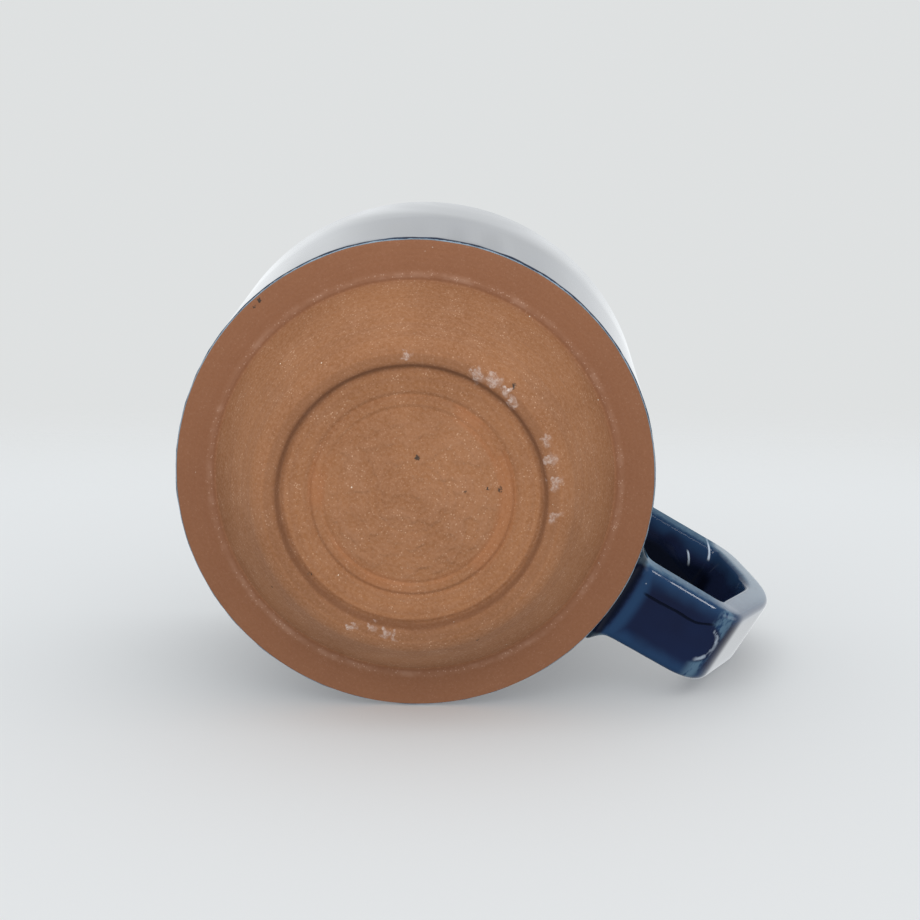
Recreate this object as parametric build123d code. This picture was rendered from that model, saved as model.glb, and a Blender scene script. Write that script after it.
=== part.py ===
from build123d import *
import math
import os

# A stoneware shaving mug: a thrown cup on a tapered foot, with a pulled strap
# handle luted to its wall, and glaze on everything but the base.
# It stands upright: +Z through the mouth, the handle along +X, and the origin
# at the middle of the foot ring, on the plane it stands on. Millimetres.

# ---- the cup ----
TOTAL_HEIGHT = 75.0         # with the glaze on the rim
BODY_RADIUS = 45.0          # bare clay wall
WALL = 4.8
FLOOR = 6.0                 # clay between the disc and the inside floor
SIDE_WALL = 4.4             # clay between the ledge's corner and the inside
RIM_FLAT = 0.4              # left level on the rim between its two rounded edges
SHOULDER_HEIGHT = 15.6      # the straight wall ends here
SHOULDER_ROUND = 0.4        # softened outer edge of the ledge
LEDGE_WIDTH = 7.5           # flat band of bare clay between wall and foot
LEDGE_FALL = 0.4            # the band is turned very slightly conical

# ---- the foot ----
FOOT_RADIUS = 26.2          # middle of the ring that the mug stands on
FOOT_LAND = 1.4             # width of the flat on that ring
FOOT_OUTER_EASE = 1.6       # how far the ring rounds off outside its flat
FOOT_INNER_EASE = 0.7       # and inside it
RECESS_RADIUS = 24.0        # turned groove round the disc
RECESS_DEPTH = 1.4          # height of the disc's edge above the table
DISC_DISH = 0.9             # the disc rises this much more inside the stamp
GROOVE_WIDTH = 1.1
GROOVE_DEPTH = 0.5
STAMP_RADIUS = 18.9         # the two plain rings of a round stamp
STAMP_INNER_RADIUS = 16.5
STAMP_LINE = 0.8
STAMP_DEPTH = 0.3
CORNER_LINE = 0.8           # fine groove where the ledge meets the foot
CORNER_DEPTH = 0.3

# ---- the inside ----
INSIDE_SLOPE = 54.0         # degrees, between the floor and the wall
FLOOR_ROUND = 10.0
SIDE_ROUND = 16.0

# ---- the handle ----
LOW_WIDTH = 15.8            # bare clay strap at the lower joint
HIGH_WIDTH = 13.5           # and at the upper one
STRAP_THICKNESS = 5.0
STRAP_EDGE_FLAT = 2.2       # left flat on its long edges, which are rounded
LOW_ARM_RISE = 7.0          # lower arm's middle line above the shoulder
HIGH_ARM_DROP = 8.3         # upper arm's middle line below the rim
LOW_REACH = 21.2            # from the wall to where the grip starts upwards
GRIP_REACH = 32.6           # from the wall to the grip's furthest point
GRIP_DROP = 15.4            # that point below the upper arm's middle line
HIGH_REACH = 24.4           # from the wall to where the grip meets the upper arm
LOW_BEND = 5.6              # bend radii of the middle line
GRIP_BEND = 14.5
HIGH_BEND = 4.8
HANDLE_LEAN = 2.5           # degrees that the handle leans to one side

# ---- the luting clay at the two joints ----
JOINT_FLARE = 2.4           # spread over the wall, all round the strap
JOINT_LIP = 0.3             # what still stands proud where it ends
JOINT_LENGTH = 3.2          # run along the strap

# ---- the glaze ----
GLAZE = 0.4
GLAZE_STOP = 0.6            # bare clay left between the ledge and the glaze

CLAY_TOP = TOTAL_HEIGHT - GLAZE
INSIDE_RADIUS = BODY_RADIUS - WALL
RIM_ROUND = (WALL - RIM_FLAT) / 2
STRAP_ROUND = (STRAP_THICKNESS - STRAP_EDGE_FLAT) / 2
RIM_MIDDLE = BODY_RADIUS - WALL / 2
LEDGE_RADIUS = BODY_RADIUS - LEDGE_WIDTH
LEDGE_HEIGHT = SHOULDER_HEIGHT - LEDGE_FALL
DISC_HEIGHT = RECESS_DEPTH + DISC_DISH
FLOOR_HEIGHT = DISC_HEIGHT + FLOOR
FOOT_INNER = FOOT_RADIUS - FOOT_LAND / 2 - FOOT_INNER_EASE
FOOT_OUTER = FOOT_RADIUS + FOOT_LAND / 2 + FOOT_OUTER_EASE
LOW_ARM_HEIGHT = SHOULDER_HEIGHT + LOW_ARM_RISE
HIGH_ARM_HEIGHT = TOTAL_HEIGHT - HIGH_ARM_DROP
BURIED = 4.0                # how far the handle's outlines start inside the wall


def turned(corners):
    """A solid turned about the axis from ((radius, height), rounding) corners."""
    points = [point for point, rounding in corners]
    roundings = [rounding for point, rounding in corners]
    with BuildPart() as solid:
        with BuildSketch(Plane.XZ):
            with BuildLine():
                FilletPolyline(*points, radius=roundings, close=True)
            make_face()
        revolve(axis=Axis.Z)
    return solid.part


def turned_line(radius, height, width, depth):
    """The ring that a pointed tool cuts upwards into the base."""
    low = height - depth
    tip = (radius, height + depth)
    return turned([((radius - width, low), 0), ((radius + width, low), 0), (tip, 0)])


def edge_round(ease, run, rise):
    """Radius that rounds a level edge into a slope within a given length."""
    turn = math.atan2(abs(rise), abs(run))
    return ease / math.tan(turn / 2)


def inside_corners(skin):
    """Floor corner and wall corner of the inside, a skin's thickness proud."""
    slope = math.radians(INSIDE_SLOPE)
    clear = SIDE_WALL + skin
    side_radius = LEDGE_RADIUS - clear * math.sin(slope)
    side_height = LEDGE_HEIGHT + clear * math.cos(slope)
    floor = FLOOR_HEIGHT + skin
    wall = INSIDE_RADIUS - skin
    floor_radius = side_radius - (side_height - floor) / math.tan(slope)
    wall_height = side_height + (wall - side_radius) * math.tan(slope)
    return (floor_radius, floor), (wall, wall_height)


def make_clay_body():
    """Wall, rim, ledge, tapered foot, recessed disc and rounded inside."""
    floor_corner, wall_corner = inside_corners(0)
    outer_ease = edge_round(FOOT_OUTER_EASE, LEDGE_RADIUS - FOOT_OUTER, LEDGE_HEIGHT)
    inner_ease = edge_round(FOOT_INNER_EASE, FOOT_INNER - RECESS_RADIUS, RECESS_DEPTH)
    corners = [
        ((0, DISC_HEIGHT), 0),
        ((STAMP_RADIUS + STAMP_LINE, DISC_HEIGHT), 0),
        ((RECESS_RADIUS, RECESS_DEPTH), 0),
        ((FOOT_INNER, 0), inner_ease),
        ((FOOT_OUTER, 0), outer_ease),
        ((LEDGE_RADIUS, LEDGE_HEIGHT), 0),
        ((BODY_RADIUS, SHOULDER_HEIGHT), SHOULDER_ROUND),
        ((BODY_RADIUS, CLAY_TOP), RIM_ROUND),
        ((INSIDE_RADIUS, CLAY_TOP), RIM_ROUND),
        (wall_corner, SIDE_ROUND),
        (floor_corner, FLOOR_ROUND),
        ((0, FLOOR_HEIGHT), 0),
    ]
    body = turned(corners)
    body -= turned_line(RECESS_RADIUS, RECESS_DEPTH, GROOVE_WIDTH, GROOVE_DEPTH)
    body -= turned_line(STAMP_RADIUS, DISC_HEIGHT, STAMP_LINE, STAMP_DEPTH)
    body -= turned_line(STAMP_INNER_RADIUS, DISC_HEIGHT, STAMP_LINE, STAMP_DEPTH)
    body -= turned_line(LEDGE_RADIUS, LEDGE_HEIGHT, CORNER_LINE, CORNER_DEPTH)
    return body


def across(radius, height):
    """Plane square to an arm, its first direction across the handle."""
    return Plane(origin=(radius, 0, height), x_dir=(0, 1, 0), z_dir=(1, 0, 0))


def strap_section(width, grow):
    """The strap's rounded cross-section, grown all round."""
    thickness = STRAP_THICKNESS + 2 * grow
    RectangleRounded(width + 2 * grow, thickness, STRAP_ROUND + grow)


def strap(skin):
    """The bent, tapering strap, with its ends running on into the wall."""
    start = BODY_RADIUS - BURIED
    path_points = [
        (start, LOW_ARM_HEIGHT),
        (BODY_RADIUS + LOW_REACH, LOW_ARM_HEIGHT),
        (BODY_RADIUS + GRIP_REACH, HIGH_ARM_HEIGHT - GRIP_DROP),
        (BODY_RADIUS + HIGH_REACH, HIGH_ARM_HEIGHT),
        (start, HIGH_ARM_HEIGHT),
    ]
    bends = [LOW_BEND, GRIP_BEND, HIGH_BEND]
    with BuildPart() as solid:
        with BuildLine(Plane.XZ) as middle:
            FilletPolyline(*path_points, radius=bends)
        with BuildSketch(across(start, LOW_ARM_HEIGHT)):
            strap_section(LOW_WIDTH, skin)
        with BuildSketch(across(start, HIGH_ARM_HEIGHT)):
            strap_section(HIGH_WIDTH, skin)
        sweep(path=middle.wires()[0], multisection=True)
    return solid.part


def joint(height, width, skin):
    """Luting clay round one arm, spreading towards the wall in a hollow curve."""
    steps = 4
    buried = BODY_RADIUS - BURIED
    start = BODY_RADIUS - 1
    run = JOINT_LENGTH + skin + 1
    with BuildPart() as solid:
        for step in range(steps + 1):
            share = step / steps
            hollow = 1 - math.sin(share * math.pi / 2)
            flare = JOINT_LIP + (JOINT_FLARE - JOINT_LIP) * hollow
            with BuildSketch(across(start + run * share, height)):
                strap_section(width, flare + skin)
        loft()
        with BuildSketch(across(buried, height)):
            strap_section(width, JOINT_FLARE + skin)
        extrude(amount=start - buried)
    return solid.part


def lower_joint(skin):
    return joint(LOW_ARM_HEIGHT, LOW_WIDTH, skin)


def upper_joint(skin):
    return joint(HIGH_ARM_HEIGHT, HIGH_WIDTH, skin)


def leaned(piece):
    """Turn a handle piece about the radial line through the handle's middle."""
    middle = (LOW_ARM_HEIGHT + HIGH_ARM_HEIGHT) / 2
    return piece.rotate(Axis((0, 0, middle), (1, 0, 0)), HANDLE_LEAN)


def wall_cylinder(radius):
    """The space inside a radius, for trimming what sits on the wall."""
    return Pos(0, 0, TOTAL_HEIGHT / 2) * Cylinder(radius, TOTAL_HEIGHT)


def make_handle():
    """Strap, two joints and their one coat of glaze, all trimmed to the wall."""
    wall = wall_cylinder(BODY_RADIUS)
    bare = leaned(strap(0))
    lower = leaned(lower_joint(0))
    upper = leaned(upper_joint(0))
    coat = leaned(strap(GLAZE)) + leaned(lower_joint(GLAZE)) + leaned(upper_joint(GLAZE))
    return {
        "handle_strap": bare - wall,
        "lower_handle_joint": lower - bare - wall,
        "upper_handle_joint": upper - bare - wall,
        "handle_glaze": coat - lower - upper - bare - wall,
    }


def make_outside_glaze():
    """Coat from just above the ledge to the rim's crown, open at the joints."""
    low = SHOULDER_HEIGHT + SHOULDER_ROUND + GLAZE_STOP
    outer = BODY_RADIUS + GLAZE
    corners = [
        ((BODY_RADIUS, low), 0),
        ((outer, low), GLAZE / 2),
        ((outer, TOTAL_HEIGHT), RIM_ROUND + GLAZE),
        ((RIM_MIDDLE, TOTAL_HEIGHT), 0),
        ((RIM_MIDDLE, CLAY_TOP), 0),
        ((BODY_RADIUS, CLAY_TOP), RIM_ROUND),
    ]
    return turned(corners) - leaned(lower_joint(GLAZE)) - leaned(upper_joint(GLAZE))


def make_inside_glaze():
    """Liner coat over the floor, the sloping side and the wall to the crown."""
    floor_corner, wall_corner = inside_corners(0)
    floor_face, wall_face = inside_corners(GLAZE)
    corners = [
        ((0, FLOOR_HEIGHT), 0),
        (floor_corner, FLOOR_ROUND),
        (wall_corner, SIDE_ROUND),
        ((INSIDE_RADIUS, CLAY_TOP), RIM_ROUND),
        ((RIM_MIDDLE, CLAY_TOP), 0),
        ((RIM_MIDDLE, TOTAL_HEIGHT), 0),
        ((INSIDE_RADIUS - GLAZE, TOTAL_HEIGHT), RIM_ROUND + GLAZE),
        (wall_face, SIDE_ROUND - GLAZE),
        (floor_face, FLOOR_ROUND - GLAZE),
        ((0, FLOOR_HEIGHT + GLAZE), 0),
    ]
    return turned(corners)


def main():
    os.makedirs("parts", exist_ok=True)
    pieces = {"clay_body": make_clay_body()}
    pieces.update(make_handle())
    pieces["outside_glaze"] = make_outside_glaze()
    pieces["inside_glaze"] = make_inside_glaze()
    for name, piece in pieces.items():
        export_step(piece, f"parts/{name}.step")
        print(name, len(piece.solids()), round(piece.volume))


main()
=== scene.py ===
# %% [markdown]
# # A stoneware shaving mug
#
# The mug is thrown on a wheel from brown clay, turned underneath when it is
# leather hard, given a pulled strap handle, and dipped in a dark blue glaze
# that stops just short of the base.
#
# The CAD model fixes every size. Here each visible piece gets the softer
# shape and the surface that the real one has. We start by loading that model
# and reading the boxes that its parts fill.

# %% Load the CAD model
import bmesh
import bpy
import math
from collections import namedtuple
from mathutils import Matrix, Vector


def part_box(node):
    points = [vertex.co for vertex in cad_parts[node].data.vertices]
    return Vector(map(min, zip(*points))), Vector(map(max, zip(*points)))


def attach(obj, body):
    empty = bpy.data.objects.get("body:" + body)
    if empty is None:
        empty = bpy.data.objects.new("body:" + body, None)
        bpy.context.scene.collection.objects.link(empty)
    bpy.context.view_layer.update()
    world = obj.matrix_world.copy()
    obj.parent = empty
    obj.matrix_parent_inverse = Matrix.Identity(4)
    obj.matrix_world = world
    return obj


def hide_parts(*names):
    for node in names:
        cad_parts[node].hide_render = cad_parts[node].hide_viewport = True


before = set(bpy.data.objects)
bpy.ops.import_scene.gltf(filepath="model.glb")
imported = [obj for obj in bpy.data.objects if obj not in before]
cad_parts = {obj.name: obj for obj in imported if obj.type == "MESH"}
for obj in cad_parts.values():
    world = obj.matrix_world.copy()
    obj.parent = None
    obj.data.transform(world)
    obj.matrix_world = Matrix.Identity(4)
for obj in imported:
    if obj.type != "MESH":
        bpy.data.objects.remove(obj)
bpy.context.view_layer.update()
MM = 0.001
print("CAD nodes:", sorted(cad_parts))

# %% [markdown]
# ## Sizes
#
# A potter works from a few sizes, and so do we. The outer ones are read from
# the CAD nodes. The rest are the sizes that a box can't show: walls, the slope
# of the foot, the roundings. All of them are in millimetres, as on a caliper.
# The mug stands on its foot at height 0, and its axis is the Z axis.

# %% Sizes of the mug
CLAY_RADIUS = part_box("clay_body")[1].x / MM
CLAY_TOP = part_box("clay_body")[1].z / MM
GLAZE_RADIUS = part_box("outside_glaze")[1].x / MM
TOTAL_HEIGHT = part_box("outside_glaze")[1].z / MM
FLOOR_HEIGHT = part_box("inside_glaze")[0].z / MM
GLAZE = GLAZE_RADIUS - CLAY_RADIUS
WALL = 4.8
RIM_ROUND = 2.2
SHOULDER = 15.6
LEDGE_RADIUS = CLAY_RADIUS - 7.5
LEDGE_HEIGHT = SHOULDER - 0.4
SIDE_WALL = 4.4
INSIDE_SLOPE = math.radians(54)
print("clay radius", round(CLAY_RADIUS, 2), "glaze", round(GLAZE, 2), "top", round(TOTAL_HEIGHT, 2))

# %% [markdown]
# ## Turning a shape
#
# Anything made on a wheel is one outline carried round the axis. In Blender
# that is the Spin operator. So the helpers below draw an outline as a potter's
# rib would have it: a plane is merged to one vertex, the vertex is extruded
# from corner to corner, some corners are rounded with a vertex bevel, and the
# line is spun. A loft of many circles would do too, but every change of
# profile would then mean moving whole rings.

# %% Helpers for a turned piece
def pick(piece, test):
    """Select, in edit mode, the vertices whose place in mm passes a test."""
    mesh = bmesh.from_edit_mesh(piece.data)
    for vertex in mesh.verts:
        vertex.select = bool(test(vertex.co / MM))
    mesh.select_flush_mode()
    bmesh.update_edit_mesh(piece.data)
    return sum(vertex.select for vertex in mesh.verts)


def single_vertex(name):
    """A new piece in edit mode, whose mesh is one vertex at the origin."""
    bpy.ops.object.select_all(action="DESELECT")
    bpy.ops.mesh.primitive_plane_add(size=MM)
    piece = bpy.context.object
    piece.name = piece.data.name = name
    bpy.ops.object.mode_set(mode="EDIT")
    bpy.ops.mesh.select_mode(type="VERT")
    bpy.ops.mesh.merge(type="CENTER")
    return piece


def run_in(before, corner, after, radius):
    """How far from a corner its rounding starts."""
    first = (Vector(corner) - Vector(before)).normalized()
    second = (Vector(after) - Vector(corner)).normalized()
    return radius * math.tan(first.angle(second) / 2)


def draw_outline(name, corners, closed):
    """Draw (radius, height, rounding) corners as a line of edges."""
    piece = single_vertex(name)
    places = [(radius, height) for radius, height, rounding in corners]
    bpy.ops.transform.translate(value=(places[0][0] * MM, 0, places[0][1] * MM))
    for here, there in zip(places, places[1:]):
        step = ((there[0] - here[0]) * MM, 0, (there[1] - here[1]) * MM)
        bpy.ops.mesh.extrude_vertices_move(TRANSFORM_OT_translate={"value": step})
    if closed:
        ends = [Vector((radius, 0, height)) for radius, height in (places[0], places[-1])]
        pick(piece, lambda at: min((at - end).length for end in ends) < 1e-3)
        bpy.ops.mesh.edge_face_add()
    for number, (radius, height, rounding) in enumerate(corners):
        if rounding:
            spot = Vector((radius, 0, height))
            pick(piece, lambda at: (at - spot).length < 1e-3)
            after = places[(number + 1) % len(places)]
            start = run_in(places[number - 1], places[number], after, rounding)
            parts = max(3, min(12, round(rounding * 2) + 2))
            bpy.ops.mesh.bevel(offset=start * MM, segments=parts, affect="VERTICES")
    return piece


def turn(name, corners, closed=False, steps=256):
    """Spin an outline about the mug's axis into a closed, smooth piece."""
    piece = draw_outline(name, corners, closed)
    bpy.ops.mesh.select_all(action="SELECT")
    bpy.ops.mesh.spin(steps=steps, angle=math.tau, center=(0, 0, 0), axis=(0, 0, 1))
    bpy.ops.mesh.select_all(action="SELECT")
    bpy.ops.mesh.remove_doubles(threshold=1e-7)
    bpy.ops.mesh.normals_make_consistent(inside=False)
    bpy.ops.object.mode_set(mode="OBJECT")
    bpy.ops.object.shade_smooth_by_angle(angle=math.radians(50))
    print(name, "has", len(piece.data.polygons), "faces")
    return piece


# %% [markdown]
# ## The clay body
#
# Underneath, the mug is turned: a flat ledge inside the wall, a cone down to a
# narrow foot ring, a groove cut inside the ring, and a shallow disc where a
# maker presses a round stamp. Ours is two plain rings and nothing else.
# A cylinder with insets could be coaxed into this, but the outline shows every
# cut in the order the tool makes it. Next to the ledge's corner the tool
# pushes up a low burr, and each groove is a little softer than the tool's tip.
# A corner is written as its radius, its height and its rounding.

# %% Turn the clay body
def inside_corners(skin):
    """Floor corner and wall corner of the inside, a skin's thickness proud."""
    clear = SIDE_WALL + skin
    side_radius = LEDGE_RADIUS - clear * math.sin(INSIDE_SLOPE)
    side_height = LEDGE_HEIGHT + clear * math.cos(INSIDE_SLOPE)
    floor = FLOOR_HEIGHT + skin
    wall = CLAY_RADIUS - WALL - skin
    floor_radius = side_radius - (side_height - floor) / math.tan(INSIDE_SLOPE)
    wall_height = side_height + (wall - side_radius) * math.tan(INSIDE_SLOPE)
    return (floor_radius, floor), (wall, wall_height)


floor_corner, wall_corner = inside_corners(0)
DISC, STAMP_INNER, STAMP_OUTER, RING_HALF = 2.3, 16.5, 18.9, 0.6
stamped_disc = [
    (0, DISC, 0), (STAMP_INNER - RING_HALF, DISC, 0.4), (STAMP_INNER, DISC + 0.26, 0.3),
    (STAMP_INNER + RING_HALF, DISC, 0.4), (STAMP_OUTER - RING_HALF, DISC, 0.4),
    (STAMP_OUTER, DISC + 0.45, 0.25), (STAMP_OUTER + RING_HALF, DISC, 0.5), (23.3, 1.6, 0.5),
]
groove_and_foot = [
    (24.1, 1.95, 0.45), (24.95, 0, 1.1), (28.5, 0, 4.0),
]
cone_and_ledge = [
    (LEDGE_RADIUS - 0.75, 13.9, 2.5), (LEDGE_RADIUS, 15.34, 0.3), (LEDGE_RADIUS + 0.6, 15.22, 0.3),
    (LEDGE_RADIUS + 1.2, 15.16, 0.3), (LEDGE_RADIUS + 2.0, 15.26, 0.6),
]
wall_and_inside = [
    (CLAY_RADIUS, SHOULDER, 0.4), (CLAY_RADIUS, CLAY_TOP, RIM_ROUND),
    (CLAY_RADIUS - WALL, CLAY_TOP, RIM_ROUND), (*wall_corner, 16), (*floor_corner, 10),
    (0, FLOOR_HEIGHT, 0),
]
clay = turn("turned_clay_body", stamped_disc + groove_and_foot + cone_and_ledge + wall_and_inside)
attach(clay, "root")
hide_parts("clay_body")

# %% [markdown]
# ## The glaze on the wall
#
# Glaze is a glass that runs as it melts. On a dipped mug it stops in a rounded
# bead that wanders up and down by a fraction of a millimetre. The coat is a
# closed thin shell, spun like the body. To make its lower edge wander, a
# Displace modifier with a soft cloud pattern moves only a vertex group at the
# edge, up and down, and is then applied. A second one makes the bead thick and
# thin along its length. Like the liner, the coat bites a hair into the clay.

# %% Turn the outside coat and let its edge wander
GLAZE_LOW = SHOULDER + 0.55
BITE = 0.05
outside = turn("wall_glaze", [
    (CLAY_RADIUS - BITE, GLAZE_LOW, 0), (CLAY_RADIUS + 0.12, GLAZE_LOW, 0.05),
    (CLAY_RADIUS + 0.22, GLAZE_LOW + 0.2, 0.2), (GLAZE_RADIUS - 0.08, GLAZE_LOW + 1.1, 1.5),
    (GLAZE_RADIUS - 0.08, 20.5, 0), (GLAZE_RADIUS - 0.05, 46, 0),
    (GLAZE_RADIUS, TOTAL_HEIGHT, RIM_ROUND + GLAZE), (CLAY_RADIUS - WALL / 2, TOTAL_HEIGHT, 0),
    (CLAY_RADIUS - WALL / 2, CLAY_TOP, 0), (CLAY_RADIUS - BITE, CLAY_TOP - BITE, RIM_ROUND),
], closed=True)


def wander(piece, name, test, amount, size, direction):
    """Move the vertices that pass a test by a soft cloud pattern, and apply it."""
    group = piece.vertex_groups.new(name=name)
    group.add([vertex.index for vertex in piece.data.vertices if test(vertex.co / MM)], 1, "REPLACE")
    clouds = bpy.data.textures.new(name, "CLOUDS")
    clouds.noise_scale = size * MM
    clouds.noise_depth = 1
    change = piece.modifiers.new(name, "DISPLACE")
    change.texture = clouds
    change.texture_coords = "LOCAL"
    change.vertex_group = name
    change.direction = direction
    change.mid_level = 0.5
    change.strength = amount * MM
    bpy.ops.object.select_all(action="DESELECT")
    bpy.context.view_layer.objects.active = piece
    piece.select_set(True)
    bpy.ops.object.modifier_apply(modifier=name)


wander(outside, "running_edge", lambda at: at.z < GLAZE_LOW + 0.6, 0.9, 5, "Z")
wander(outside, "thick_and_thin",
       lambda at: at.z < GLAZE_LOW + 1.6 and at.xy.length > CLAY_RADIUS + 0.1, 0.22, 3.2, "NORMAL")
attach(outside, "root")
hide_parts("outside_glaze")

# %% [markdown]
# ## The liner glaze
#
# The inside is poured full, swirled and emptied, so its coat is even on the
# wall and a little thicker in the curve of the floor. It meets the outside
# coat on the crown of the rim.

# %% Turn the inside coat
floor_face, wall_face = inside_corners(GLAZE)
INSIDE = CLAY_RADIUS - WALL
liner = turn("liner_glaze", [
    (0, FLOOR_HEIGHT - BITE, 0), (floor_corner[0], floor_corner[1] - BITE, 10),
    (wall_corner[0] + BITE, wall_corner[1], 16), (INSIDE + BITE, CLAY_TOP - BITE, RIM_ROUND),
    (INSIDE + WALL / 2, CLAY_TOP, 0), (INSIDE + WALL / 2, TOTAL_HEIGHT, 0),
    (INSIDE - GLAZE, TOTAL_HEIGHT, RIM_ROUND + GLAZE), (*wall_face, 15.6), (*floor_face, 9.6),
    (0, FLOOR_HEIGHT + GLAZE, 0),
])
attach(liner, "root")
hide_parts("inside_glaze")

# %% [markdown]
# ## The handle
#
# A strap handle is pulled from a lump of clay with a wet hand, bent, and luted
# to the wall with slip, and a finger smooths the joint into a hollow curve.
# We follow the same path: a plane with rounded corners is the strap's section,
# and it is extruded on the straights and spun round the bends, growing
# narrower as it goes. At the wall it starts and ends wide, which makes the
# joints. A curve with a bevel would be quicker, but its section could not
# change so freely. The strap and its joints stay below, as CAD has them, and
# this piece is the glaze that covers all three.

# %% Sizes of the handle
LOW_ARM, HIGH_ARM = SHOULDER + 7.0, TOTAL_HEIGHT - 8.3
MIDDLE = (LOW_ARM + HIGH_ARM) / 2
LOW_WIDTH, HIGH_WIDTH, THICKNESS = 15.8 + 2 * GLAZE, 13.5 + 2 * GLAZE, 5.0 + 2 * GLAZE
CORNER_X = CLAY_RADIUS + 21.2
route = [
    Vector((CORNER_X, LOW_ARM)), Vector((CLAY_RADIUS + 32.5, HIGH_ARM - 15.4)),
    Vector((CLAY_RADIUS + 24.4, HIGH_ARM)),
]
bend_radii = [5.6, 14.5, 4.8]
BURIED = 1.6
JOINT_RUN = 3.8
JOINT_SPREAD = 2.2
JOINT_SHARES = [0, 0.12, 0.28, 0.48, 0.72, 1.0]
LEAN = math.radians(2.5)
print("arms at", round(LOW_ARM, 2), "and", round(HIGH_ARM, 2), "mm")

# %% Helpers that carry a section along a route
def start_section(name, place, width, thickness, rounding):
    """A face across +X, with rounded corners and five cuts in each broad side."""
    bpy.ops.object.select_all(action="DESELECT")
    bpy.ops.mesh.primitive_plane_add(size=MM, rotation=(0, math.pi / 2, 0))
    piece = bpy.context.object
    piece.name = piece.data.name = name
    bpy.ops.object.transform_apply(location=True, rotation=True, scale=True)
    bpy.ops.object.mode_set(mode="EDIT")
    bpy.ops.mesh.select_mode(type="VERT")
    bpy.ops.transform.resize(value=(1, width, thickness))
    bpy.ops.mesh.bevel(offset=rounding * MM, segments=4, affect="VERTICES")
    bpy.ops.mesh.select_mode(type="EDGE")
    bpy.ops.mesh.select_all(action="DESELECT")
    mesh = bmesh.from_edit_mesh(piece.data)
    for edge in mesh.edges:
        edge.select = edge.calc_length() > 0.4 * width * MM
    bmesh.update_edit_mesh(piece.data)
    bpy.ops.mesh.subdivide(number_cuts=5)
    bpy.ops.mesh.select_mode(type="FACE")
    bpy.ops.mesh.select_all(action="SELECT")
    bpy.ops.transform.translate(value=(place[0] * MM, 0, place[1] * MM))
    # One face over the whole outline takes the place of those that the cuts made.
    bpy.ops.mesh.delete(type="ONLY_FACE")
    bpy.ops.mesh.select_mode(type="VERT")
    bpy.ops.mesh.select_all(action="SELECT")
    bpy.ops.mesh.edge_face_add()
    bpy.ops.mesh.select_mode(type="FACE")
    bpy.ops.mesh.select_all(action="SELECT")
    return piece


def scale_end(across, through, place, heading):
    """Resize the strap's open end across it and through its thickness."""
    tilt = Matrix.Rotation(-heading, 3, "Y")
    bpy.ops.transform.resize(
        value=(1, across, through), center_override=(place[0] * MM, 0, place[1] * MM),
        orient_type="GLOBAL", orient_matrix=tilt, orient_matrix_type="GLOBAL")


def go_straight(place, heading, length):
    """Extrude the open end along its heading and return where it is."""
    ahead = Vector((math.cos(heading), math.sin(heading))) * length
    bpy.ops.mesh.extrude_region_move(
        TRANSFORM_OT_translate={"value": (ahead[0] * MM, 0, ahead[1] * MM)})
    return place + ahead


def go_round(place, heading, radius, angle):
    """Spin the open end about the bend's middle and return place and heading."""
    side = Vector((-math.sin(heading), math.cos(heading))) * radius
    middle = place + side
    bpy.ops.mesh.spin(steps=1, angle=angle, center=(middle[0] * MM, 0, middle[1] * MM), axis=(0, 1, 0))
    new = heading + angle
    return middle - Vector((-math.sin(new), math.cos(new))) * radius, new


def spread(share):
    """The joint's extra size at a share of its run from the wall: a hollow curve."""
    return 2 * JOINT_SPREAD * (1 - math.sin(min(share, 1) * math.pi / 2))


def go_through_joint(place, heading, width, shares):
    """Extrude the open end through a joint and resize it on the way."""
    for before, share in zip(shares, shares[1:]):
        place = go_straight(place, heading, JOINT_RUN * abs(share - before))
        old, new = spread(before), spread(share)
        scale_end((width + new) / (width + old), (THICKNESS + new) / (THICKNESS + old), place, heading)
    return place


# %% Pull the strap from the wall, round its three bends
place, heading = Vector((CLAY_RADIUS - BURIED, LOW_ARM)), 0.0
handle = start_section("strap_glaze", place, LOW_WIDTH + spread(0), THICKNESS + spread(0), 2.2)
place = go_straight(place, heading, BURIED)
place = go_through_joint(place, heading, LOW_WIDTH, JOINT_SHARES)
corners = [Vector((CLAY_RADIUS, LOW_ARM))] + route + [Vector((CLAY_RADIUS, HIGH_ARM))]
STATION, BEND_STEP = 4, math.radians(11)
TAPER_STEPS = 26
stations = 0
taper = (HIGH_WIDTH / LOW_WIDTH) ** (1 / TAPER_STEPS)
for number, radius in enumerate(bend_radii):
    run = corners[number + 1] - corners[number]
    after = corners[number + 2] - corners[number + 1]
    angle = math.atan2(run[0] * after[1] - run[1] * after[0], run.dot(after))
    tangent = radius * math.tan(angle / 2)
    length = (corners[number + 1] - place).length - tangent
    steps = max(2, round(length / STATION))
    for step in range(steps):
        place = go_straight(place, heading, length / steps)
        scale_end(taper, 1, place, heading)
        stations += 1
    steps = max(4, round(angle / BEND_STEP))
    for step in range(steps):
        place, heading = go_round(place, heading, radius, angle / steps)
        scale_end(taper, 1, place, heading)
        stations += 1
print("stations", stations, "end at", place, "heading", round(math.degrees(heading), 1))

# %% Carry it back to the wall and close it
UPPER_STEPS = 4
upper_run = place[0] - CLAY_RADIUS - JOINT_RUN
for step in range(UPPER_STEPS):
    place = go_straight(place, heading, upper_run / UPPER_STEPS)
place = go_through_joint(place, heading, HIGH_WIDTH, JOINT_SHARES[::-1])
place = go_straight(place, heading, BURIED)
bpy.ops.mesh.select_all(action="SELECT")
bpy.ops.mesh.remove_doubles(threshold=1e-7)
bpy.ops.mesh.normals_make_consistent(inside=False)

# %% [markdown]
# ## The crease, the lean and the last softening
#
# The strap was bent while wet, and a shallow crease runs along the lower arm's
# face. One row of vertices is pressed in, and the row beside it stands a
# little proud. Most of what shows of the crease is the dark glaze in it, which
# the finish adds. A handle put on by hand is never quite upright, so the whole
# strap leans by a small angle, and a Subdivision Surface rounds it off.

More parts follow.
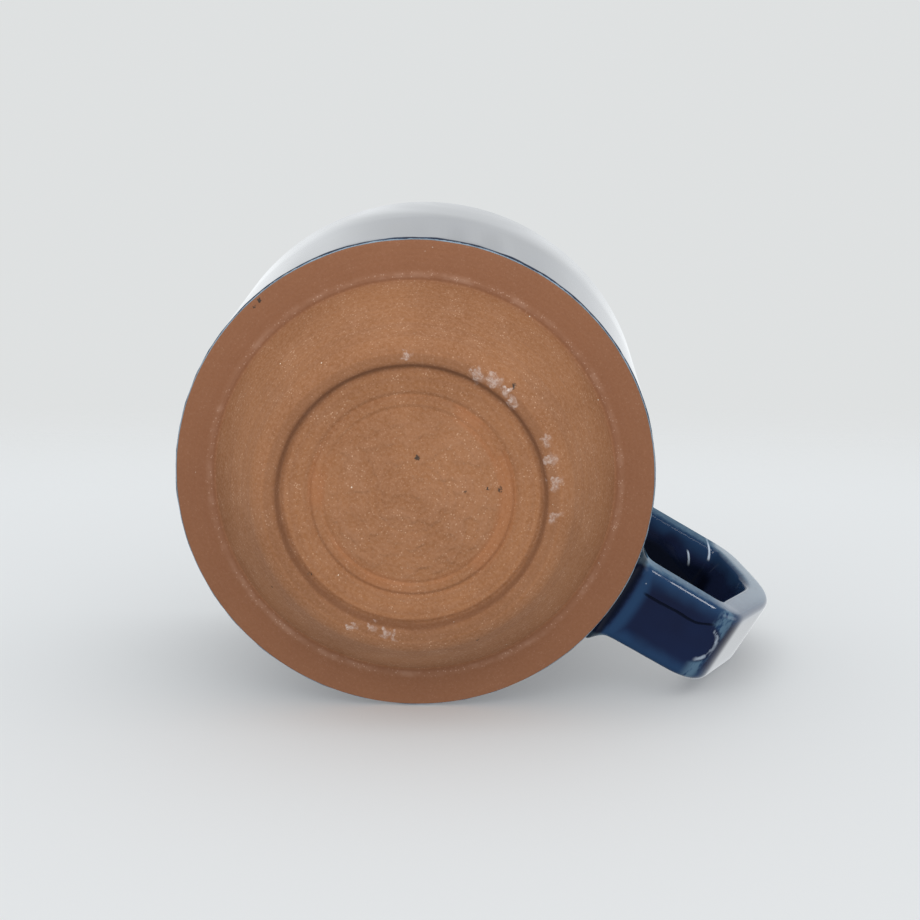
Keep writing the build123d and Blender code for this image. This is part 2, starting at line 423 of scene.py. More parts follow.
# %% Press the crease, lean the strap and soften it
CREASE_DEPTH, PROUD = 0.22, 0.12
low_face = LOW_ARM - THICKNESS / 2
bpy.ops.mesh.select_mode(type="VERT")
pressed = pick(handle, lambda at: at.z < low_face + 0.4 and -2.9 < at.y < -1.6 and 50 < at.x < CORNER_X)
bpy.ops.transform.translate(value=(0, 0, CREASE_DEPTH * MM))
pushed_up = pick(handle, lambda at: at.z < low_face + 0.3 and -5.6 < at.y < -3.4 and 49 < at.x < CORNER_X)
bpy.ops.transform.translate(value=(0, 0, -PROUD * MM))
print("crease", pressed, "vertices, and the clay beside it", pushed_up)
bpy.ops.mesh.select_all(action="SELECT")
bpy.ops.transform.rotate(value=-LEAN, orient_axis="X", center_override=(0, 0, MIDDLE * MM))
bpy.ops.object.mode_set(mode="OBJECT")
soften = handle.modifiers.new("soften", "SUBSURF")
soften.levels = soften.render_levels = 2
bpy.ops.object.modifier_apply(modifier="soften")
bpy.ops.object.shade_smooth()
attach(handle, "root")
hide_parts("handle_glaze")
reach = max(vertex.co.x for vertex in handle.data.vertices) / MM
print("strap faces", len(handle.data.polygons), "reach", round(reach, 2), "mm")

# %% [markdown]
# ## Writing a material as sums
#
# A material here is a small calculation: how deep is the glaze, how far is
# this point from the axis, is it in a speck? The class below wraps a node's
# output, so that `1 - mask * 0.5` adds the Math nodes for us.

# %% A value that adds its own Math nodes
class Value:
    """A number, colour or vector on its way from one shader node to the next."""

    def __init__(self, finish, socket):
        self.finish, self.socket = finish, socket

    def sum(self, operation, first, second=None):
        """The Math node for one operation."""
        return self.finish.node("ShaderNodeMath", {"operation": operation}, {0: first, 1: second})

    def __add__(self, other):
        return self.sum("ADD", self, other)

    def __radd__(self, other):
        return self.sum("ADD", other, self)

    def __sub__(self, other):
        return self.sum("SUBTRACT", self, other)

    def __rsub__(self, other):
        return self.sum("SUBTRACT", other, self)

    def __mul__(self, other):
        return self.sum("MULTIPLY", self, other)

    def __rmul__(self, other):
        return self.sum("MULTIPLY", other, self)

    def __truediv__(self, other):
        return self.sum("DIVIDE", self, other)

    def __pow__(self, other):
        return self.sum("POWER", self, other)

    def __gt__(self, other):
        return self.sum("GREATER_THAN", self, other)

    def __lt__(self, other):
        return self.sum("LESS_THAN", self, other)

    def __abs__(self):
        return self.sum("ABSOLUTE", self)

    def sine(self):
        return self.sum("SINE", self)

    def least(self, other):
        return self.sum("MINIMUM", self, other)

    def most(self, other):
        return self.sum("MAXIMUM", self, other)


# %% [markdown]
# ## The nodes behind a finish
#
# Everything that isn't arithmetic comes from one method, `node`, which takes
# the node's type, its settings and its inputs. The short methods after it say
# in a maker's words what the nodes are for: clouds, scattered points, a soft
# spot, a band between two limits.

# %% A finish and its nodes
class Finish:
    """A material, or the world, and the nodes that make it."""

    def __init__(self, name, world=False):
        self.block = (bpy.data.worlds if world else bpy.data.materials).new(name)
        self.block.use_nodes = True
        self.tree = self.block.node_tree
        self.tree.nodes.clear()
        self.last_node = "ShaderNodeOutputWorld" if world else "ShaderNodeOutputMaterial"

    def node(self, kind, settings=None, inputs=None, output=0):
        """Any node: its settings first, then the values or links of its sockets."""
        made = self.tree.nodes.new(kind)
        for name, value in (settings or {}).items():
            setattr(made, name, value)
        for key, value in (inputs or {}).items():
            if isinstance(value, Value):
                self.tree.links.new(value.socket, made.inputs[key])
            elif value is not None:
                made.inputs[key].default_value = value
        return Value(self, made.outputs[output])

    def show(self, shader):
        """Link a shader to the output."""
        out = self.tree.nodes.new(self.last_node)
        self.tree.links.new(shader.socket, out.inputs[0])
        return self.block

    def surface(self, inputs):
        """The Principled shader, which the mug's own finishes end in."""
        return self.show(self.node("ShaderNodeBsdfPrincipled", {}, inputs, "BSDF"))

    def place(self):
        """Where a point is, in mm: the piece's own coordinates."""
        at = self.node("ShaderNodeTexCoord", {}, {}, "Object")
        return self.node("ShaderNodeVectorMath", {"operation": "SCALE"}, {0: at, "Scale": 1 / MM})

    def parts(self, vector):
        """The x, y and z of a vector."""
        split = self.node("ShaderNodeSeparateXYZ", {}, {0: vector})
        return [Value(self, output) for output in split.socket.node.outputs]

    def join(self, x, y, z):
        """A vector from its x, y and z."""
        return self.node("ShaderNodeCombineXYZ", {}, {0: x, 1: y, 2: z})

    def distance(self, at, place):
        """How far a point is from a place."""
        return self.node("ShaderNodeVectorMath", {"operation": "DISTANCE"}, {0: at, 1: place}, "Value")

    def from_axis(self, at):
        """Distance of a point from the mug's axis, in mm."""
        x, y, z = self.parts(at)
        return (x * x + y * y) ** 0.5

    def noise(self, at, size, detail=2.0, roughness=0.5):
        """Cloudy noise whose blobs are about `size` mm across; 0 to 1."""
        return self.node("ShaderNodeTexNoise", {}, {
            "Vector": at, "Scale": 1 / size, "Detail": detail, "Roughness": roughness})

    def cells(self, at, size):
        """Distance to the nearest of scattered points, in cells, and random numbers for each."""
        near = self.node("ShaderNodeTexVoronoi", {}, {"Vector": at, "Scale": 1 / size})
        colour = Value(self, near.socket.node.outputs["Color"])
        return near, self.parts(colour)

    def rise(self, value, low, high):
        """0 below `low`, 1 above `high`, and a soft rise between."""
        return self.node("ShaderNodeMapRange", {"interpolation_type": "SMOOTHSTEP"}, {
            0: value, 1: low, 2: high, 3: 0.0, 4: 1.0})

    def fall(self, value, low, high):
        """1 below `low`, 0 above `high`, and a soft fall between."""
        return 1 - self.rise(value, low, high)

    def band(self, value, low, low_full, high_full, high):
        """1 between the two full limits, and 0 outside the outer two."""
        return self.rise(value, low, low_full) * self.fall(value, high_full, high)

    def spot(self, at, place, size):
        """1 in a soft round spot seen along the axis, and 0 past its size."""
        x, y, z = self.parts(at)
        away = self.distance(self.join(x, y, 0.0), (*place, 0.0))
        return self.fall(away, size * 0.45, size)

    def mix(self, share, first, second):
        """The first colour, and the second where share is 1."""
        colours = [(*c, 1) if isinstance(c, tuple) else c for c in (first, second)]
        return self.node("ShaderNodeMix", {"data_type": "RGBA"}, {0: share, 6: colours[0], 7: colours[1]}, 2)

    def bump(self, height, depth, before=None):
        """A surface normal tilted by a height, whose full range is `depth` mm."""
        return self.node("ShaderNodeBump", {}, {
            "Strength": 1.0, "Distance": depth * MM, "Height": height, "Normal": before})


def dress(piece, material):
    """Give a piece one material all over."""
    piece.data.materials.clear()
    piece.data.materials.append(material)


# %% [markdown]
# ## Bare fired clay
#
# Brown stoneware is not one colour. Fine grog shows as pale specks, a rare
# grain of quartz as a white one, and iron burns to a few dark ones. The specks
# are thresholds on scattered points, so they are round and far apart, which a
# cloudy noise never gives. The whole clay is lighter and dustier in clouds.

# %% The clay itself
DEEP_BROWN, BROWN = (0.258, 0.107, 0.042), (0.298, 0.127, 0.051)
SANDY, DUST, GROG = (0.46, 0.25, 0.15), (0.42, 0.235, 0.145), (0.66, 0.42, 0.28)
PIT, QUARTZ, IRON = (0.12, 0.055, 0.028), (0.85, 0.78, 0.66), (0.03, 0.018, 0.012)
GRAIN_SIZE, GROG_SIZE, QUARTZ_APART, IRON_APART = 0.55, 0.42, 3.2, 6.5


def fired_clay(f, at):
    """Colour, bump, and the three masks that the marks of turning use again."""
    grain = f.noise(at, GRAIN_SIZE, 2.0, 0.7)
    colour = f.mix(f.rise(f.noise(at, 16.0, 3.0), 0.35, 0.65), DEEP_BROWN, BROWN)
    colour = f.mix(f.rise(grain, 0.3, 0.75) * 0.35, colour, SANDY)
    dusty = f.rise(f.noise(at, 5.0, 3.0, 0.6), 0.45, 0.70)
    colour = f.mix(dusty * 0.13, colour, DUST)
    near, random = f.cells(at, GROG_SIZE)
    specks = (near < 0.34) * (random[0] > 0.70)
    colour = f.mix(specks * (dusty * 0.35 + 0.16), colour, GROG)
    pits = (near < 0.30) * (random[1] > 0.86)
    colour = f.mix(pits * 0.30, colour, PIT)
    near, random = f.cells(at, QUARTZ_APART)
    colour = f.mix((near < 0.040) * (random[0] > 0.72), colour, QUARTZ)
    near, random = f.cells(at, IRON_APART)
    colour = f.mix((near < 0.045) * (random[0] > 0.72) * 0.8, colour, IRON)
    return colour, f.bump(grain, 0.05), grain, dusty, specks


# %% [markdown]
# ## What turning leaves
#
# The turning tool drags faint rings round the axis: a noise that sees only the
# distance from the axis. It burnishes the ledge and the crest of the foot, and
# pushes a dusty burr up at the ledge's corner. The groove has painted shade.

# %% Marks of the turning tool
RING, LEDGE, CREST = (0.22, 0.10, 0.055), (0.222, 0.092, 0.048), (0.18, 0.080, 0.040)
GROOVE_SHADE, STAMP_EDGE, BURR = (0.125, 0.052, 0.026), (0.37, 0.135, 0.050), (0.52, 0.33, 0.24)


def turning_marks(f, at, colour, bump, dusty, specks):
    """Rings, the ledge, the foot's crest, painted shade in the groove, the stamp's edge and the burr."""
    x, y, z = f.parts(at)
    radius = f.from_axis(at)
    rings = f.noise(f.join(radius * 1.3, z * 1.3, 0.0), 1.0, 3.0, 0.6)
    colour = f.mix(f.rise(rings, 0.3, 0.75) * 0.22, colour, RING)
    ledge = f.rise(radius, LEDGE_RADIUS - 0.5, LEDGE_RADIUS + 0.6)
    colour = f.mix(ledge * 0.72, colour, LEDGE)
    crest = f.band(radius, 24.9, 25.6, 26.2, 27.4)
    colour = f.mix(crest * 0.35, colour, CREST)
    # Painted shade: the groove is darkened along a wavering band.
    wobbly = radius + f.noise(at, 6.0, 2.0) * 0.8
    colour = f.mix(f.band(wobbly, 23.9, 24.6, 24.9, 26.0) * 0.55, colour, GROOVE_SHADE)
    stamp_edge = f.band(radius, 15.4, 16.4, 18.6, 19.4) * f.rise(f.noise(at, 11.0, 1.0), 0.42, 0.6)
    colour = f.mix(stamp_edge * 0.32, colour, STAMP_EDGE)
    burr = f.band(radius, *(LEDGE_RADIUS + past for past in (0.3, 1.0, 1.2, 2.2)))
    colour = f.mix(burr * (specks * 0.4 + dusty * 0.2 + 0.06), colour, BURR)
    return colour, f.bump(rings, 0.10, bump)


# %% [markdown]
# ## What the kiln and the stamp leave
#
# White kiln wash from the shelf sticks to the foot ring in flaky patches, and
# a few grains of iron have burnt through as dark spots. Each has its own place
# and size, so they are two lists. A soft spot alone would look airbrushed:
# the coordinates are pushed about by a noise first, which tears its edge.
# Where the round stamp was pressed, the clay is softly uneven.

# %% Marks of the kiln and the stamp
KILN_WASH, BURNT_IRON, PRESSED = (0.60, 0.51, 0.47), (0.030, 0.030, 0.028), (0.40, 0.21, 0.125)
kiln_wash = [
    ((-13.9, -22.4), 1.3, 0.8), ((-1.3, -25.9), 1.8, 0.7), ((1.6, -26.2), 1.8, 0.75),
    ((4.3, -26.0), 1.3, 0.7), ((4.7, -26.6), 0.75, 1.5), ((6.5, -24.9), 1.3, 0.8),
    ((15.3, -22.0), 1.2, 0.6), ((18.0, -19.3), 1.6, 0.7), ((20.8, -16.2), 1.5, 0.7),
    ((23.8, -10.2), 1.3, 0.6), ((2.9, 26.3), 1.1, 1.0), ((6.1, 24.9), 1.0, 0.6),
    ((8.7, 24.5), 1.2, 0.7), ((10.5, 24.2), 0.9, 0.6),
]
iron_spots = [
    ((5.1, -27.4), 0.55), ((-2.8, -6.7), 0.5), ((13.1, -9.3), 0.55), ((11.2, -8.3), 0.4),
    ((7.8, -5.8), 0.3), ((-8.6, 22.0), 0.35), ((-41.8, -14.6), 0.5), ((-42.0, -12.9), 0.35),
]


def torn(f, at, along, across, push):
    """A place pushed about by two noises, by up to half of `push` mm each way."""
    x, y, z = f.parts(at)
    return f.join(x + (along - 0.5) * push, y + (across - 0.5) * push, 0.0)


def kiln_marks(f, at, colour, grain):
    """Kiln wash on the foot ring, and burnt spots of iron."""
    x, y, z = f.parts(at)
    swapped = f.join(y, x, z)
    flaky = f.rise(f.noise(at, 0.7, 3.0, 0.7), 0.44, 0.60)
    smeared = torn(f, at, f.noise(at, 1.4, 3.0), f.noise(swapped, 1.7, 3.0), 4.0)
    for place, size, strength in kiln_wash:
        patch = f.spot(smeared, place, size) * (flaky * 0.6 + 0.28) * (strength * 0.72)
        colour = f.mix(patch, colour, KILN_WASH)
    ragged = torn(f, at, grain, f.noise(swapped, 0.6), 1.6)
    for place, size in iron_spots:
        colour = f.mix(f.spot(ragged, place, size) * 0.9, colour, BURNT_IRON)
    return colour


def pressed_stamp(f, at, colour, bump):
    """The soft unevenness inside the stamp's two rings."""
    x, y, z = f.parts(at)
    uneven = f.noise(f.join(x + y * 0.4, y - x * 0.3, 0.0), 3.6, 1.0, 0.4)
    relief = f.rise(uneven, 0.43, 0.60) * f.fall(f.from_axis(at), 14.6, 16.0)
    return f.mix(relief * 0.12, colour, PRESSED), f.bump(relief, 0.16, bump)


# %% Put the clay finishes on
def clay_finish(name, turned):
    """Unglazed stoneware. `turned` adds what only the turned base has."""
    f = Finish(name)
    at = f.place()
    colour, bump, grain, dusty, specks = fired_clay(f, at)
    if turned:
        colour, bump = turning_marks(f, at, colour, bump, dusty, specks)
        colour = kiln_marks(f, at, colour, grain)
        colour, bump = pressed_stamp(f, at, colour, bump)
    return f.surface({"Base Color": colour, "Roughness": 0.82, "Specular IOR Level": 0.25, "Normal": bump})


turned_clay = clay_finish("turned_stoneware", True)
strap_clay = clay_finish("pulled_stoneware", False)
dress(clay, turned_clay)
for node in ("handle_strap", "lower_handle_joint", "upper_handle_joint"):
    dress(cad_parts[node], strap_clay)
print("clay on", [clay.name, "handle_strap", "lower_handle_joint", "upper_handle_joint"])

# %% [markdown]
# ## The dark blue glaze
#
# A cobalt glaze is a dark glass over the clay. Where it pools it is almost
# black, and where it thins over an edge it breaks to a pale grey blue. So one
# finish serves all three coats, and each piece only says where its coat is
# thin, broken, milky or pooled, and where painted highlights and painted shade
# go into those colours. A clear coat over a darker base gives the wet shine, and
# a very low, wide bump makes the reflections wander as they do on a hand-made
# pot.

# %% The glaze's finish
DARK, BLUE = (0.007, 0.009, 0.023), (0.008, 0.015, 0.045)
# The milky colour also serves as a painted highlight, and the pooled colour below as painted shade.
THINNER, PALE, MILKY_AND_HIGHLIGHT = (0.016, 0.042, 0.095), (0.12, 0.20, 0.26), (0.50, 0.58, 0.68)
POOLED_AND_SHADE, PINHOLE = (0.0015, 0.0025, 0.006), (0.35, 0.38, 0.42)
Coat = namedtuple("Coat", "thinner broken milky pooled shine raised", defaults=(0.0, 0.0, 1.0, None))


def glaze_finish(name, coat_of, ripple, drawn_out=1.0):
    """A glossy coat. `coat_of` says how it lies, and `ripple` is its wide bump in mm."""
    f = Finish(name)
    at = f.place()
    x, y, z = f.parts(at)
    fine = f.noise(at, 1.1, 3.0, 0.6)
    coat = coat_of(f, at, fine)
    colour = f.mix(f.rise(f.noise(at, 14.0, 2.0), 0.25, 0.75) * 0.7, DARK, BLUE)
    colour = f.mix(coat.thinner, colour, THINNER)
    colour = f.mix(coat.broken, colour, PALE)
    # These mixes carry painted highlights in the milky colour and painted shade in the pooled one.
    colour = f.mix(coat.milky, colour, MILKY_AND_HIGHLIGHT)
    colour = f.mix(coat.pooled, colour, POOLED_AND_SHADE)
    near, random = f.cells(at, 3.4)
    pinholes = f.fall(near, 0.02, 0.055) * (random[1] > 0.7)
    colour = f.mix(pinholes * 0.6, colour, PINHOLE)
    bump = f.bump(f.noise(f.join(x, y, z * drawn_out), 9.0, 2.0), ripple)
    if coat.raised is not None:
        bump = f.bump(coat.raised, 1.0, bump)
    bump = f.bump(fine, 0.012, bump)
    bump = f.bump(1 - pinholes, 0.05, bump)
    return f.surface({
        "Base Color": colour, "Roughness": 0.22 + fine * 0.12, "Specular IOR Level": 0.0,
        "Coat Weight": coat.shine, "Coat Roughness": 0.03, "Coat IOR": 1.5, "Normal": bump})


# %% [markdown]
# ## How the coats lie on the wall and inside
#
# On the wall the glaze is thin and satin just above its lower edge, with a
# pale lip at the very end that is partly a painted highlight. Inside, it
# shows the throwing rings. Both break to grey blue over the crown of the rim.

# %% The coats on the wall and inside
def over_the_rim(f, z, fine):
    """Where a coat thins over the crown of the rim."""
    return f.rise(z + fine * 1.4, TOTAL_HEIGHT - 1.6, TOTAL_HEIGHT + 0.3) * 0.5


def coat_on_wall(f, at, fine):
    """Thin, dashed and satin above the lower edge, with a pale lip that is partly a painted highlight."""
    x, y, z = f.parts(at)
    edge = f.fall(z, GLAZE_LOW + 1.4, GLAZE_LOW + 3.0)
    # The pale lip at the coat's end: thin glaze, and a painted highlight on the edge.
    lip_and_highlight = f.fall(f.from_axis(at) + (fine - 0.5) * 0.25, CLAY_RADIUS + 0.13, CLAY_RADIUS + 0.21) * edge
    dashes = f.rise(f.noise(at, 2.6, 1.0), 0.56, 0.64) * edge
    satin = f.fall(z + f.noise(at, 3.5, 2.0) * 1.6, GLAZE_LOW + 1.5, GLAZE_LOW + 2.6)
    return Coat(edge * 0.2 + dashes * 0.4, lip_and_highlight.most(over_the_rim(f, z, fine)), milky=lip_and_highlight * 0.35,
                shine=1 - satin * 0.85)


def coat_inside(f, at, fine):
    """Shiny all over, with throwing rings."""
    x, y, z = f.parts(at)
    rings = ((z * 1.9) + f.noise(at, 12.0, 1.0) * 6).sine() * 0.5 + 0.5
    return Coat(rings * 0.15, over_the_rim(f, z, fine), raised=rings * 0.12)


# %% [markdown]
# ## How the coat lies on the strap
#
# The strap shows how it was made. Its long edges are thin and pale, and the
# crease is a dark line. A milky arc at the outer corner of the lower arm is
# gathered glaze with a painted highlight, and the pale corner beyond it is thin
# glaze with a painted reflection. Two short lines across the upper arm are
# painted highlights over low ridges. Each is drawn by its distance from a line
# or a circle. In the angle at the wall the dark is pooled glaze and painted
# shade, on one half of the upper arm it is painted shade, and the coat is less
# shiny where it was wiped.

# %% Marks on the strap's coat
def crease_line(f, at):
    """The crease, which bends away towards the outer corner."""
    x, y, z = f.parts(at)
    waver = (f.noise(at, 4.0, 1.0) - 0.5) * 0.6
    line = y + 2.0 + f.rise(x, 60.5, 65.0) * 1.3 + waver
    return f.fall(abs(line), 0.12, 0.42) * f.band(x, 49.2, 50.4, 63.5, 65.5)


def pinch_mark_and_highlight(f, at, slope, foot, top, start, end):
    """A short bowed line across the upper arm: a painted highlight over a low ridge."""
    x, y, z = f.parts(at)
    bow = (y + top) * (y + top) * 0.12
    line = f.fall(abs(x - y * slope - foot + bow), 0.12, 0.36)
    return line * f.rise(y, *start) * f.fall(y, *end)


def pinch_marks_and_highlights(f, at):
    """Two painted highlights over low ridges across the upper arm."""
    first = pinch_mark_and_highlight(f, at, 0.6, 65.4, 3.0, (-4.9, -4.3), (-2.4, -1.6))
    return first.most(pinch_mark_and_highlight(f, at, 0.55, 70.1, 6.4, (-8.4, -7.6), (-5.6, -4.8)))


def from_long_edge(f, at):
    """Distance from the strap's nearer long edge, in mm."""
    x, y, z = f.parts(at)
    upright = y + (z - MIDDLE) * math.sin(LEAN)
    half = LOW_WIDTH / 2 - (z - LOW_ARM) * ((LOW_WIDTH - HIGH_WIDTH) / 2 / (HIGH_ARM - LOW_ARM))
    return half - abs(upright)


def full_edges(f, at):
    """A height that makes the long edges of both arms fuller on the foot's side."""
    x, y, z = f.parts(at)
    low_edge = (z - (LOW_ARM - THICKNESS / 2)).most(0.0).least(THICKNESS - 0.7)
    high_edge = (z - (HIGH_ARM - THICKNESS / 2)).most(0.0).least(THICKNESS - 0.7)
    return (low_edge + high_edge) * 0.42


def dull_places(f, at, inset, fine, below, above):
    """The sides of the arms, and the strips along their edges that were wiped."""
    x, y, z = f.parts(at)
    side = f.fall(inset, 0.5, 1.7) * f.fall(x, CORNER_X - 5.0, CORNER_X + 1.0)
    wiped_low = f.rise(x, 50.0, 50.8) * f.fall(x + fine * 1.5, 53.4, 54.2) * f.fall(inset, 3.4, 4.2)
    wiped_high = f.fall(inset, 3.2, 4.0) * above * f.fall(x, 66.0, 68.0)
    return side.most((wiped_low * below).most(wiped_high) * 1.3)


# %% The coat on the strap
ARC_MIDDLE, ARC_RADIUS = (CORNER_X - 2.3, 1.0, 0.0), 4.1


def coat_on_strap(f, at, fine):
    """All the marks of the strap together."""
    x, y, z = f.parts(at)
    below = f.fall(z, LOW_ARM - 1.5, LOW_ARM - 0.5)
    above = f.rise(z, HIGH_ARM - 7, HIGH_ARM - 5)
    inset = from_long_edge(f, at)
    margin = f.fall(inset + (f.noise(at, 5.0, 1.0) - 0.5) * 3, 0.8, 4.2) * 0.9
    arc = f.distance(f.join(x, y, 0.0), ARC_MIDDLE)
    streaks = f.rise(f.noise(f.join(x * 1.5, y * 0.5, z), 1.5, 3.0, 0.6), 0.36, 0.52)
    near_arc = f.fall(abs(arc - ARC_RADIUS + fine * 0.9), 0.10, 0.60)
    # The milky arc at the outer corner: gathered glaze and a painted highlight.
    gathered_glaze_and_highlight = near_arc * f.rise(x, 64.6, 66.0) * below * streaks
    # The pale corner beyond the arc: thin glaze and a painted reflection.
    corner = f.rise(arc, 3.9, 4.8) * f.rise(x, 63.6, 66.0) * below
    from_wall = f.from_axis(at)
    # Dark in the angle at the wall: pooled glaze, and painted shade in the hollow of the joint.
    at_wall = f.fall(from_wall + fine * 0.8, CLAY_RADIUS + 2.2, CLAY_RADIUS + 3.4)
    smoothed = f.band(from_wall, *(CLAY_RADIUS + past for past in (2.0, 3.6, 4.2, 6.2)))
    crease = crease_line(f, at) * below
    # Painted highlights across the upper arm, with a low ridge in the bump.
    pinch_and_highlight = pinch_marks_and_highlights(f, at) * above
    # Painted shade on one half of the upper arm, where the loop is in shadow.
    shadowed = above * f.rise(y + (f.noise(at, 6.0, 1.0) - 0.5) * 4, -4.5, -1.5)
    return Coat(
        thinner=margin.most(smoothed).most(corner) * 0.8 * (1 - at_wall),
        broken=(f.fall(inset + fine * 0.8, 0.15, 1.0) * 0.5).most(corner * streaks * 0.45),
        milky=(gathered_glaze_and_highlight * 0.42).most(pinch_and_highlight * 0.8),
        pooled=(crease * 0.8).most(at_wall * 0.75).most(shadowed * 0.9),
        shine=1 - dull_places(f, at, inset, fine, below, above) * 0.72,
        raised=full_edges(f, at) - crease * 0.12 + (gathered_glaze_and_highlight + pinch_and_highlight) * 0.06)


# %% Put the glaze on
dress(outside, glaze_finish("wall_glaze_finish", coat_on_wall, 0.26, 3.0))
dress(liner, glaze_finish("liner_glaze_finish", coat_inside, 0.10))
dress(handle, glaze_finish("strap_glaze_finish", coat_on_strap, 0.22))
print("glaze on", [outside.name, liner.name, handle.name])

# %% [markdown]
# ## Where the mug lies, and the ground under it
#
# The mug is seen from below, lying on its side: the wall and the handle's
# corner touch a table. The table is a flat sheet that touches the wall along
# one line. A second sheet is the floor under the foot, for looks from above.
# Each is seen only from its own side, fades out at its edges, and is left out
# of reflections and bounced light, so the two never disturb each other. A part
# of their tone is a faint light of their own, which keeps the shadows soft.

# %% Ground
REST_TURN = math.radians(30.6)
MATT_SHARE, VEIL_SHARE = 0.72, 0.24
DOWN = Vector((math.sin(REST_TURN), math.cos(REST_TURN), 0))
SIDE = Vector((math.cos(REST_TURN), -math.sin(REST_TURN), 0))
UP = Vector((0, 0, 1))


def ground(name, centre, first, second, half_first, half_second, fade, tone):
    """A one-sided sheet that catches shadows and fades to nothing at its edges."""
    bpy.ops.object.select_all(action="DESELECT")
    bpy.ops.mesh.primitive_plane_add(size=2)
    sheet = bpy.context.object
    sheet.name = sheet.data.name = name
    sides = Matrix((first * half_first * MM, second * half_second * MM, first.cross(second) * MM))
    sheet.data.transform(sides.transposed().to_4x4())
    sheet.data.transform(Matrix.Translation(centre * MM))
    f = Finish(name + "_finish")
    at = f.place()
    along = []
    for axis in (first, second):
        measured = f.node("ShaderNodeVectorMath", {"operation": "DOT_PRODUCT"}, {0: at, 1: axis}, "Value")
        along.append(measured - centre.dot(axis))
    reach = ((abs(along[0]) / half_first) ** 3.0 + (abs(along[1]) / half_second) ** 3.0) ** (1 / 3)
    shown = f.fall(reach, 1 - fade, 1.0)
    behind = f.node("ShaderNodeNewGeometry", {}, {}, "Backfacing")
    matt = f.node("ShaderNodeBsdfDiffuse", {}, {"Color": (*(c * MATT_SHARE for c in tone), 1)})
    veil = f.node("ShaderNodeEmission", {}, {"Color": (*(c * VEIL_SHARE for c in tone), 1), "Strength": 1.0})
    paper = f.node("ShaderNodeAddShader", {}, {0: matt, 1: veil})
    clear = f.node("ShaderNodeBsdfTransparent", {}, {})
    dress(sheet, f.show(f.node("ShaderNodeMixShader", {}, {0: shown * (1 - behind), 1: clear, 2: paper})))
    sheet.visible_diffuse = sheet.visible_glossy = False
    sheet.visible_transmission = sheet.visible_shadow = False
    return sheet


table = ground("table", DOWN * 45.4 + UP * 40, SIDE, UP, 420, 260, 0.5, (0.86, 0.87, 0.875))
floor = ground(
    "floor", Vector((10, 0, 0)), Vector((1, 0, 0)), Vector((0, 1, 0)), 330, 330, 0.6, (0.80, 0.81, 0.815))
print("table faces", [round(v, 2) for v in table.data.polygons[0].normal])

# %% [markdown]
# ## Light
#
# The room is pale on every side but straight below the foot, so its light is
# soft. A glossy glaze shows what it mirrors, and the room that reflections see
# is painted on its own: dark below the foot, which keeps the glaze deep blue
# where it faces us, pale above the rim, which lets its edges flare white, and
# with three tall soft windows round the sides. In a world, Generated
# coordinates are the direction looked in.

# %% The room
BACKDROP = (0.735, 0.752, 0.755)
ROOM_COLOUR = (0.97, 1.0, 1.02)
WINDOW_LEVEL, WINDOW_BLUR = 1.25, 0.30
windows = ((-0.30, -0.95, 0.12), (0.97, -0.24, 0.06), (-0.98, 0.17, 0.12))
room = Finish("room", world=True)
look = room.node("ShaderNodeTexCoord", {}, {}, "Generated")
x, y, z = room.parts(look)
from_above = x * -DOWN.x + y * -DOWN.y
level = 0.14 + room.rise(z, -0.97, -0.72) * 0.76 + room.rise(from_above, 0.0, 1.0) * 0.12
from_zenith = (x * x + y * y) ** 0.5
uneven = room.noise(room.join(from_zenith, x * 0.2, y * 0.2), 0.06, 2.0)
mirrored = 0.035 + room.rise(z, -0.15, 0.85) * (0.74 + uneven * 0.40)
for toward_x, toward_y, half in windows:
    ahead = room.rise(x * toward_x + y * toward_y, 0.0, 0.1)
    across = room.fall(abs(x * toward_y - y * toward_x), half, half + WINDOW_BLUR)
    tall = room.band(z, -0.75, -0.40, 0.10, 0.50)
    mirrored = mirrored.most(ahead * across * tall * WINDOW_LEVEL)
in_a_reflection = room.node("ShaderNodeLightPath", {}, {}, "Is Glossy Ray")
level = level * (1 - in_a_reflection) + mirrored * in_a_reflection
lit = room.node("ShaderNodeVectorMath", {"operation": "SCALE"}, {0: ROOM_COLOUR, "Scale": level})
camera_sees = room.node("ShaderNodeLightPath", {}, {}, "Is Camera Ray")
shown = room.mix(camera_sees, lit, BACKDROP)
bpy.context.scene.world = room.show(room.node("ShaderNodeBackground", {}, {"Color": shown, "Strength": 1.0}))
print("room with", len(windows), "windows")

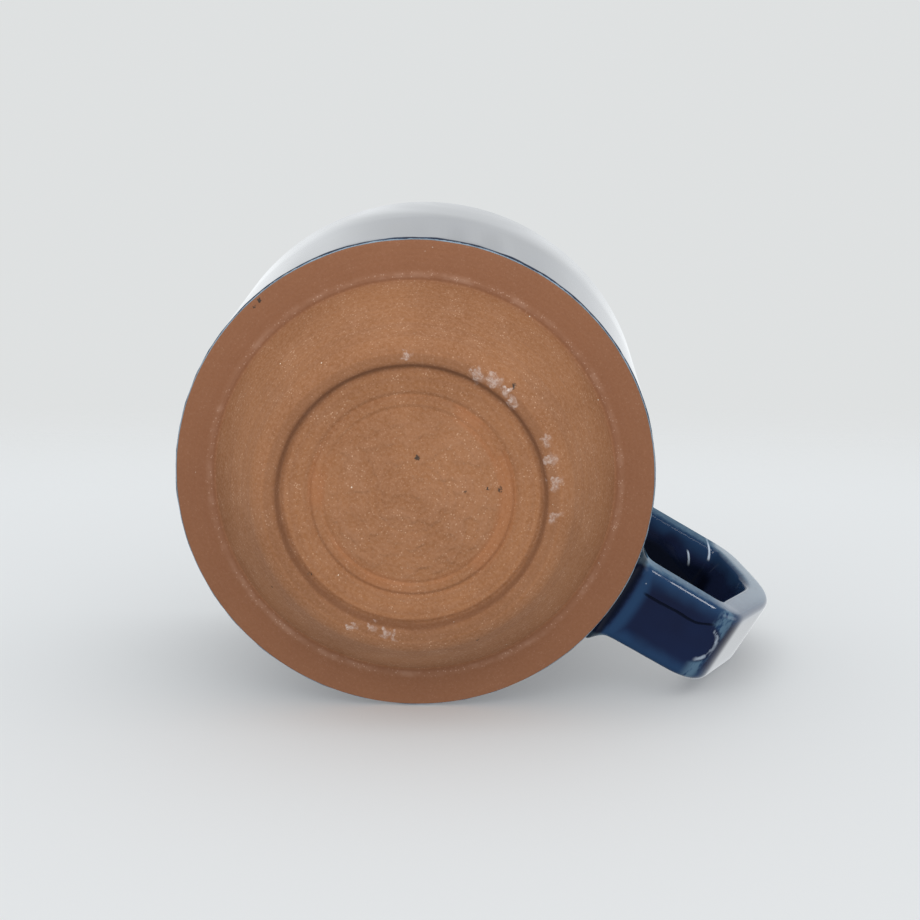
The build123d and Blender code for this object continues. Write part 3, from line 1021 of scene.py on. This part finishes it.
# %% [markdown]
# ## Lamps
#
# Two square lamps stand in for soft boxes. One hangs above the table, a little
# towards the viewer, and lights the whole mug. The other is a far window that
# only the handle sees: its mirror image is the bright line along the lower
# arm. Light linking keeps the first off the table, whose soft shadow is the
# room's, and the second off everything but the handle.

# %% Two soft boxes
def soft_box(name, place, aim, size, power, colour, lit_pieces):
    """A square lamp that points at a place and lights only some pieces."""
    bpy.ops.object.light_add(type="AREA", location=place * MM)
    lamp = bpy.context.object
    lamp.name = name
    lamp.data.shape, lamp.data.size = "SQUARE", size * MM
    lamp.data.energy, lamp.data.color = power, colour
    lamp.rotation_mode = "QUATERNION"
    lamp.rotation_quaternion = (aim - place).to_track_quat("-Z", "Y")
    lamp.visible_camera = False
    lamp.light_linking.receiver_collection = bpy.data.collections.new("lit_by_" + name)
    for piece in lit_pieces:
        lamp.light_linking.receiver_collection.objects.link(piece)
    return lamp


foot = Vector((0, 0, 15))
grip = Vector((62, -4, 20))
whole_mug = (clay, outside, liner, handle, *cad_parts.values())
soft_box("overhead", foot - DOWN * 115 - UP * 225, foot, 150, 0.35, (1.0, 0.99, 0.97), whole_mug)
soft_box("window", grip + Vector((0.236, -0.707, -0.666)) * 300, grip, 100, 0.55, (1.0, 1.0, 1.0), (handle,))
print("lamps", [thing.name for thing in bpy.data.objects if thing.type == "LIGHT"])

# %% [markdown]
# ## Camera
#
# A short telephoto, from below the foot and a little above the table. It is
# placed by where it stands, where it looks and which way is up in its view,
# and the last two are made square to each other.

# %% Camera
bpy.ops.object.camera_add(location=(-0.0344, -0.0908, -0.3622))
camera = bpy.context.object
camera.name = "camera"
camera.data.lens, camera.data.sensor_width = 81.16, 36.0
camera.data.clip_start, camera.data.clip_end = 0.01, 20.0
forward = Vector((0.1025, 0.2144, 0.9714)).normalized()
above = Vector((-0.4990, -0.8337, 0.2367))
right = forward.cross(above).normalized()
above = right.cross(forward)
camera.rotation_mode = "QUATERNION"
camera.rotation_quaternion = Matrix((right, above, -forward)).transposed().to_quaternion()
bpy.context.scene.camera = camera
bpy.context.scene.view_settings.view_transform = "Standard"
print("camera at", [round(v, 4) for v in camera.location], "looking along", [round(v, 3) for v in forward])
